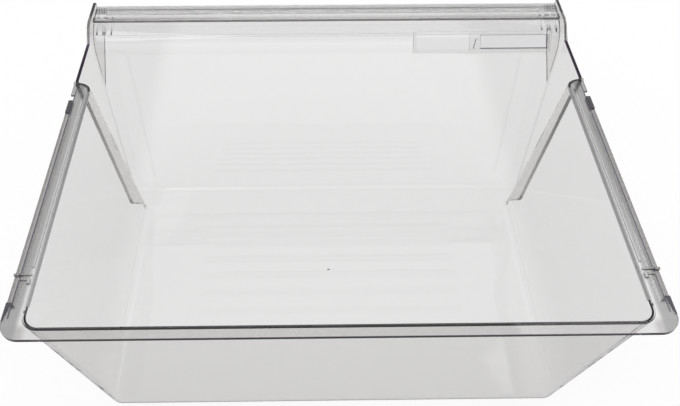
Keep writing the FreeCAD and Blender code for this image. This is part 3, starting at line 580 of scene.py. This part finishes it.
def bar_material(plastic, sizes, low, high):
    """Very clear plastic with painted shade as a dark band along its near edge, and a frosted, bright front.
    """
    nodes = Nodes("clear_bar")
    where, rubbed, normal = moulded_surface(nodes, plastic.polish, flow=0.01, grain=0.02)
    place = nodes.add("ShaderNodeSeparateXYZ", {0: where}).outputs[1:]
    near, far, top = low[1] / MM, high[1] / MM, high[2] / MM
    depth, height, front_depth = (
        size / MM for size in (sizes.dark_edge_depth, sizes.dark_edge, sizes.front_depth)
    )
    lip = top - (sizes.step_drop + sizes.dark_edge_top) / MM
    # Painted shade: dark band along the bar's near edge.
    edge = nodes.zone(place, ((near - 1.0, near + depth), (lip - height, lip)))
    front = nodes.zone(place, ((far - front_depth, far + 1.0), (top - front_depth, top + 1.0)), 0.6)
    rough = nodes.math("MULTIPLY_ADD", front, plastic.bar_frost, rubbed)
    base = nodes.tinted(((edge, plastic.painted_bar_edge_shade),))
    surface = glass(nodes, plastic, base, rough, normal, shine=front)
    return nodes.finish(surface, absorption(nodes, plastic, times=0.1))


def slider_material(plastic, sizes, panel):
    """Clear plastic with painted shade: its thin panel is tinted a little darker and its edges are painted as
    dark lines.
    """
    nodes = Nodes("slider_plastic")
    where, rubbed, normal = moulded_surface(nodes, plastic.polish + 0.03, flow=0.04, grain=0.03)
    vent = vent_axes(nodes, where, sizes)
    (left, right), (low, high) = panel
    line, low_line = sizes.slider_edge / MM, sizes.low_outline / MM
    # Painted shade: the thin panel tinted darker, then dark lines along its edges.
    zones = [(nodes.zone(vent, (*panel, VENT_DEPTH), 0.1), plastic.panel)]
    # Painted shade: dark lines along the panel's four edges.
    for limits in (
        ((left, left + line), panel[1]),
        ((right - line, right), panel[1]),
        (panel[0], (high - line, high)),
        (panel[0], (low, low + low_line)),
    ):
        zones.append((nodes.zone(vent, (*limits, VENT_DEPTH), 0.1), plastic.outline))
    surface = glass(nodes, plastic, nodes.tinted(zones), rubbed, normal)
    return nodes.finish(surface, absorption(nodes, plastic))


def clear_material(plastic, name, base, flow, times=1.0):
    """Plain clear plastic with its own flow waves and scuffs."""
    nodes = Nodes(name)
    _, rubbed, normal = moulded_surface(nodes, plastic.polish, flow, grain=0.03)
    surface = glass(nodes, plastic, (*base, 1.0), rubbed, normal)
    return nodes.finish(surface, absorption(nodes, plastic, times))


def smoke_material(plastic):
    """Satin smoke grey plastic with a fine grain."""
    nodes = Nodes("smoke_pad")
    where = nodes.add("ShaderNodeTexCoord").outputs["Object"]
    grain = nodes.add("ShaderNodeTexNoise", {"Vector": where, "Scale": 2600.0, "Detail": 3.0})
    cloud = nodes.add("ShaderNodeTexNoise", {"Vector": where, "Scale": 180.0, "Detail": 2.0})
    paler = [1.5 * part for part in plastic.smoke]
    mixed = {0: cloud.outputs["Fac"], 6: (*plastic.smoke, 1.0), 7: (*paler, 1.0)}
    tone = nodes.add("ShaderNodeMix", mixed, data_type="RGBA").outputs[2]
    relief = {"Strength": 0.25, "Distance": 0.0001, "Height": grain.outputs["Fac"]}
    normal = nodes.add("ShaderNodeBump", relief).outputs["Normal"]
    rough = nodes.math("MULTIPLY_ADD", cloud.outputs["Fac"], 0.15, 0.32)
    inputs = {"Base Color": tone, "Roughness": rough, "Normal": normal}
    return nodes.finish(nodes.add("ShaderNodeBsdfPrincipled", inputs).outputs[0])


def dress(piece, material):
    """Gives every slot of a piece the material."""
    if not piece.material_slots:
        piece.data.materials.append(material)
    for slot in piece.material_slots:
        slot.material = material


class DrawerOperator:
    """What the operators share."""

    bl_options = {"REGISTER", "UNDO"}


class DRAWER_OT_pan(DrawerOperator, bpy.types.Operator):
    """Give the moulded pan its clear plastic"""

    bl_idname = "drawer.pan"
    bl_label = "Pan"

    def execute(self, context):
        scene = context.scene
        dress(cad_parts["pan"], shell_material(scene.drawer_plastic, scene.drawer_fittings))
        return {"FINISHED"}


class DRAWER_OT_handle_bar(DrawerOperator, bpy.types.Operator):
    """Build the handle bar, its section carried across the drawer"""

    bl_idname = "drawer.handle_bar"
    bl_label = "Handle bar"

    def execute(self, context):
        sizes = context.scene.drawer_bar
        low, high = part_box("handle_bar")
        outline = bar_outline(sizes, low[1], high[1], high[2], low[2])
        half = high[0] - sizes.slant * (high[2] - outline[:, 1])
        points, faces = carried_profile(
            outline, (-1, 1), lambda side, ring: np.column_stack([side * half, ring])
        )
        bar = new_piece("bar", points, faces, "drawer", "clear_bar", "handle_bar")
        outward(bar)
        for side in (-1, 1):
            ends = sorted((side * (high[0] - sizes.notch), side * (high[0] + sizes.notch)))
            box_low = (ends[0], low[1] + sizes.notch_near, high[2] - 2 * sizes.plate)
            box_high = (ends[1], low[1] + sizes.notch_far, high[2] + sizes.plate)
            cut_away(bar, box_low, box_high)
        soften(bar, sizes.rounding, 50.0)
        dress(bar, bar_material(context.scene.drawer_plastic, sizes, low, high))
        return {"FINISHED"}


class DRAWER_OT_end_clips(DrawerOperator, bpy.types.Operator):
    """Build the ribbed clips at the ends of the handle bar"""

    bl_idname = "drawer.end_clips"
    bl_label = "End clips"

    def execute(self, context):
        sizes = context.scene.drawer_fittings
        plastic = context.scene.drawer_plastic
        material = clear_material(plastic, "clear_trim", (0.95, 0.95, 0.96), flow=0.1)
        count = sizes.clip_ribs
        for name in ("left_bar_clip", "right_bar_clip"):
            low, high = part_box(name)
            start = np.linspace(low[0], high[0] - sizes.clip_rib, count)
            edges = np.stack([start, start + sizes.clip_rib], axis=1)
            plate = low[2] + sizes.clip_plate
            heights = np.tile([plate, high[2], high[2], plate], count)
            comb = np.column_stack([np.repeat(edges, 2), heights])[1:-1]
            corners = np.concatenate([comb, [(high[0], low[2]), (low[0], low[2])]])
            outline = round_corners(corners, np.full(len(corners), sizes.clip_rounding))
            points, faces = carried_profile(
                outline,
                (low[1], high[1]),
                lambda station, ring: np.column_stack([ring[:, 0], np.full(len(ring), station), ring[:, 1]]),
            )
            clip = new_piece(name.replace("bar_clip", "clip"), points, faces, "drawer", "clear_trim", name)
            outward(clip)
            soften(clip, sizes.clip_edge, 50.0)
            dress(clip, material)
        return {"FINISHED"}


class DRAWER_OT_vent(DrawerOperator, bpy.types.Operator):
    """Build the vent's frame and its slider with the thumb rib"""

    bl_idname = "drawer.vent"
    bl_label = "Humidity vent"

    def execute(self, context):
        sizes = context.scene.drawer_fittings
        plastic = context.scene.drawer_plastic
        self.build_frame(sizes, plastic)
        self.build_slider(sizes, plastic)
        return {"FINISHED"}

    def build_frame(self, sizes, plastic):
        """A ring: the section's width runs from the opening's outline to the
        frame's outline, and both outlines are turned through together."""
        low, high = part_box("slider_track")
        half = (high[0] - low[0]) / 2
        opening = (half - sizes.frame_end, sizes.frame_half - sizes.frame_rail)
        signs = np.array([(-1, -1), (1, -1), (1, 1), (-1, 1)])
        outer = round_corners(signs * (half, sizes.frame_half), np.full(4, sizes.frame_corner), steps=6)
        inner = round_corners(signs * opening, np.full(4, sizes.frame_inner), steps=6)
        section = round_corners([(0, 0), (1, 0), (1, 1), (0, 1)], np.full(4, sizes.frame_round))
        across = inner[:, None, :] + (outer - inner)[:, None, :] * section[None, :, :1]
        bottom = sizes.frame_proud - sizes.frame_wall
        rise = np.broadcast_to(bottom + sizes.frame_wall * section[:, 1], across.shape[:2])
        points = np.concatenate([across, rise[..., None]], axis=2)
        rows, columns = rise.shape
        wrapped = np.pad(np.arange(rows * columns).reshape(rows, columns), ((0, 1), (0, 1)), mode="wrap")
        faces = np.stack([wrapped[:-1, :-1], wrapped[1:, :-1], wrapped[1:, 1:], wrapped[:-1, 1:]], axis=-1)
        faces = faces.reshape(-1, 4).tolist()
        shaped = into_vent(points.reshape(-1, 3), sizes)
        ring = new_piece("vent_frame", shaped, faces, "drawer", "clear_trim", "slider_track", flat=True)
        outward(ring)
        dress(ring, clear_material(plastic, "vent_frame", (1.0, 1.0, 1.0), flow=0.02, times=0.3))

    def build_slider(self, sizes, plastic):
        """Height of the upper face is the plate, less the thin panel's depth,
        plus the rib's rise, each times smooth steps up and down both ways.
        The grid leans sideways at the rib, by the height up the slope."""
        low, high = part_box("humidity_slider")
        middle = vent_place(sizes)[0]
        left, right = low[0] - middle[0], high[0] - middle[0]
        rib = (left + sizes.thumb_left, left + sizes.thumb_left + sizes.thumb_wall)
        well = (left + sizes.well_left, right - sizes.well_right)
        edge = sizes.slider_edge
        lines = (np.linspace(left, right, 25), edge_lines(*well, edge), edge_lines(*rib, edge))
        along = np.unique(np.concatenate([*lines, np.linspace(*rib, 9)]))
        well_up = (-sizes.well_half, sizes.well_half)
        rib_up = (-sizes.thumb_low, sizes.thumb_high)
        plate_up = np.linspace(-sizes.slider_half, sizes.slider_half, 13)
        up = np.unique(np.concatenate([plate_up, edge_lines(*well_up, edge), edge_lines(*rib_up, edge)]))
        grid_x, grid_y = np.meshgrid(along, up, indexing="ij")
        rise = plateau(grid_x, *rib, edge) * plateau(grid_y, *rib_up, edge)
        sunk = plateau(grid_x, *well, edge) * plateau(grid_y, *well_up, edge)
        from_middle = (grid_x - sum(rib) / 2) / (sizes.thumb_wall / 2)
        crown = np.clip(1 - sizes.thumb_crown * from_middle**2, 0, 1)
        top = -sizes.slider_top - sizes.well_depth * sunk + sizes.thumb_rise * rise * crown
        bottom = np.full_like(top, -sizes.slider_top - sizes.slider_wall)
        near_rib = smooth_step(grid_x, left, rib[0]) * smooth_step(grid_x, well[0], rib[1])
        grid_x = grid_x + sizes.thumb_lean * grid_y * near_rib
        upper = np.stack([grid_x, grid_y, top], axis=-1).reshape(-1, 3)
        lower = np.stack([grid_x, grid_y, bottom], axis=-1).reshape(-1, 3)
        rows, columns = grid_x.shape
        index = np.arange(rows * columns).reshape(rows, columns)
        rim = np.concatenate([index[:-1, 0], index[-1, :-1], index[:0:-1, -1], index[0, :0:-1]])
        walls = np.stack([rim, np.roll(rim, -1), np.roll(rim, -1) + index.size, rim + index.size], axis=-1)
        below = grid_faces(rows, columns, flip=True) + index.size
        faces = np.concatenate([grid_faces(rows, columns), below, walls])
        points = into_vent(np.concatenate([upper, lower]), sizes)
        slots = ("vent_slider", "slider_plastic", "humidity_slider")
        slider = new_piece("vent_slider", points, faces.tolist(), *slots, flat=True)
        outward(slider)
        panel = [(low / MM, high / MM) for low, high in (well, well_up)]
        dress(slider, slider_material(plastic, sizes, panel))


class DRAWER_OT_pads(DrawerOperator, bpy.types.Operator):
    """Build the stops and the tapered glides of the rails"""

    bl_idname = "drawer.pads"
    bl_label = "Stops and glides"

    def execute(self, context):
        sizes = context.scene.drawer_fittings
        material = smoke_material(context.scene.drawer_plastic)
        for side in ("left", "right"):
            low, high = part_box(f"{side}_front_stop")
            points, faces = rounded_block(low, high, sizes.pad_rounding)
            stop = new_piece(f"{side}_stop", points, faces, "drawer", "smoke_pad", f"{side}_front_stop")
            outward(stop)
            dress(stop, material)
            self.build_glide(side, sizes, material)
        return {"FINISHED"}

    def build_glide(self, side, sizes, material):
        """A rounded block whose width shrinks evenly towards its rear tip."""
        low, high = (np.array(corner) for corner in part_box(f"{side}_rear_glide"))
        radius = sizes.pad_rounding / 2
        points, faces = rounded_block(low, high, radius)
        width = high[0] - low[0]
        ahead = (points[:, 1] - low[1]) / (high[1] - low[1])
        narrow = (sizes.glide_tip + (width - sizes.glide_tip) * ahead) / width
        outer = low[0] if side == "left" else high[0]
        points[:, 0] = outer + (points[:, 0] - outer) * narrow
        glide = new_piece(f"{side}_glide", points, faces, "drawer", "smoke_pad", f"{side}_rear_glide")
        outward(glide)
        dress(glide, material)


class DRAWER_OT_stage(DrawerOperator, bpy.types.Operator):
    """Set up the floor, the soft light and the camera"""

    bl_idname = "drawer.stage"
    bl_label = "Stage"

    def execute(self, context):
        sizes = context.scene.drawer_stage
        self.add_floor(sizes)
        self.add_world(sizes)
        self.add_lamp("key", sizes.key, place=(-0.9, -0.5, 1.5), side=1.2)
        self.add_lamp("fill", sizes.fill, place=(1.1, 0.4, 1.3), side=1.0)
        self.add_camera(sizes)
        context.scene.view_settings.view_transform = "Standard"
        return {"FINISHED"}

    def add_floor(self, sizes):
        """The floor shows white to the camera and keeps the drawer's shadow.

        What the plastic lets through and what it mirrors is a little darker, and the floor seen through the
        plastic beside the drawer is darker still: a painted shadow.
        """
        half = sizes.floor / 2
        points = np.array([(-half, -half, 0), (half, -half, 0), (half, half, 0), (-half, half, 0)])
        mesh = bpy.data.meshes.new("floor")
        mesh.from_pydata((points - (0, 0, 0.0005)).tolist(), [], [(0, 1, 2, 3)])
        floor = bpy.data.objects.new("floor", mesh)
        bpy.context.scene.collection.objects.link(floor)
        nodes = Nodes("floor")
        matt = nodes.add("ShaderNodeBsdfDiffuse", {"Color": (*sizes.floor_colour, 1.0)}).outputs[0]
        where = nodes.add("ShaderNodeTexCoord").outputs["Object"]
        across = nodes.math("ABSOLUTE", nodes.add("ShaderNodeSeparateXYZ", {0: where}).outputs[0])
        path = nodes.add("ShaderNodeLightPath").outputs
        camera, glossy, through = (path[f"Is {kind} Ray"] for kind in ("Camera", "Glossy", "Transmission"))
        seen = nodes.math("MAXIMUM", nodes.math("MAXIMUM", camera, glossy), through)
        part = nodes.math("MULTIPLY", seen, sizes.backdrop)
        only_mirrored = nodes.math("MAXIMUM", nodes.math("SUBTRACT", glossy, through), 0.0)
        level = nodes.math("MULTIPLY", only_mirrored, sizes.mirrored)
        # Painted shadow: darker floor through the plastic beside the drawer, set by |X| only.
        behind = nodes.ramp(across, sizes.side_start, sizes.side_end, sizes.through, sizes.beside)
        level = nodes.math("MULTIPLY_ADD", through, behind, level)
        level = nodes.math("MAXIMUM", level, camera)
        white = nodes.add("ShaderNodeEmission", {"Color": (1, 1, 1, 1), "Strength": level}).outputs[0]
        mixed = nodes.add("ShaderNodeMixShader", {0: part, 1: matt, 2: white}).outputs[0]
        dress(floor, nodes.finish(mixed))

    def add_world(self, sizes):
        """White surroundings, brightest overhead and darker towards the horizon."""
        world = bpy.data.worlds.new("studio")
        bpy.context.scene.world = world
        world.use_nodes = True
        tree = world.node_tree
        sky = tree.nodes["Background"]
        sky.inputs["Color"].default_value = (1, 1, 1, 1)
        way = tree.nodes.new("ShaderNodeTexCoord")
        parts = tree.nodes.new("ShaderNodeSeparateXYZ")
        level = tree.nodes.new("ShaderNodeMapRange")
        level.interpolation_type = "SMOOTHSTEP"
        level.inputs["From Max"].default_value = sizes.overhead_from
        level.inputs["To Min"].default_value = sizes.horizon
        level.inputs["To Max"].default_value = sizes.overhead
        tree.links.new(way.outputs["Generated"], parts.inputs[0])
        tree.links.new(parts.outputs["Z"], level.inputs["Value"])
        tree.links.new(level.outputs[0], sky.inputs["Strength"])

    def add_lamp(self, name, power, place, side):
        """A square lamp that shines at the drawer."""
        lamp = bpy.data.lights.new(name, "AREA")
        lamp.energy = power
        lamp.size = side
        holder = bpy.data.objects.new(name, lamp)
        bpy.context.scene.collection.objects.link(holder)
        facing = Vector(place).to_track_quat("Z", "Y").to_matrix().to_4x4()
        holder.matrix_world = Matrix.Translation(place) @ facing

    def add_camera(self, sizes):
        """The photograph's camera, from above and behind."""
        lens = bpy.data.cameras.new("camera")
        lens.lens = sizes.focal * lens.sensor_width
        lens.shift_x = sizes.shift_x
        lens.shift_y = sizes.shift_y
        camera = bpy.data.objects.new("camera", lens)
        bpy.context.scene.collection.objects.link(camera)
        camera.matrix_world = (
            Matrix.Translation(sizes.camera_place)
            @ Matrix.Rotation(-sizes.yaw, 4, "Z")
            @ Matrix.Rotation(math.pi / 2 - sizes.pitch, 4, "X")
            @ Matrix.Rotation(sizes.roll, 4, "Z")
        )
        bpy.context.scene.camera = camera


OPERATORS = (
    DRAWER_OT_pan,
    DRAWER_OT_handle_bar,
    DRAWER_OT_end_clips,
    DRAWER_OT_vent,
    DRAWER_OT_pads,
    DRAWER_OT_stage,
)
SETTINGS = {
    "drawer_plastic": PlasticSizes,
    "drawer_bar": BarSizes,
    "drawer_fittings": FittingSizes,
    "drawer_stage": StageSizes,
}


class DRAWER_PT_pieces(bpy.types.Panel):
    """Lists the drawer's pieces in the sidebar"""

    bl_idname = "DRAWER_PT_pieces"
    bl_label = "Crisper drawer"
    bl_space_type = "VIEW_3D"
    bl_region_type = "UI"
    bl_category = "Drawer"

    def draw(self, context):
        for operator in OPERATORS:
            self.layout.operator(operator.bl_idname)


def register():
    """Adds the operators, the panel and the settings."""
    for group in SETTINGS.values():
        bpy.utils.register_class(group)
    for item in (*OPERATORS, DRAWER_PT_pieces):
        bpy.utils.register_class(item)
    for name, group in SETTINGS.items():
        setattr(bpy.types.Scene, name, PointerProperty(type=group))


def unregister():
    """Takes them away again."""
    for name in SETTINGS:
        delattr(bpy.types.Scene, name)
    for item in (DRAWER_PT_pieces, *reversed(OPERATORS), *SETTINGS.values()):
        bpy.utils.unregister_class(item)


def main():
    """Builds everything."""
    register()
    for operator in OPERATORS:
        group, name = operator.bl_idname.split(".")
        getattr(getattr(bpy.ops, group), name)()


if __name__ == "__main__":
    main()
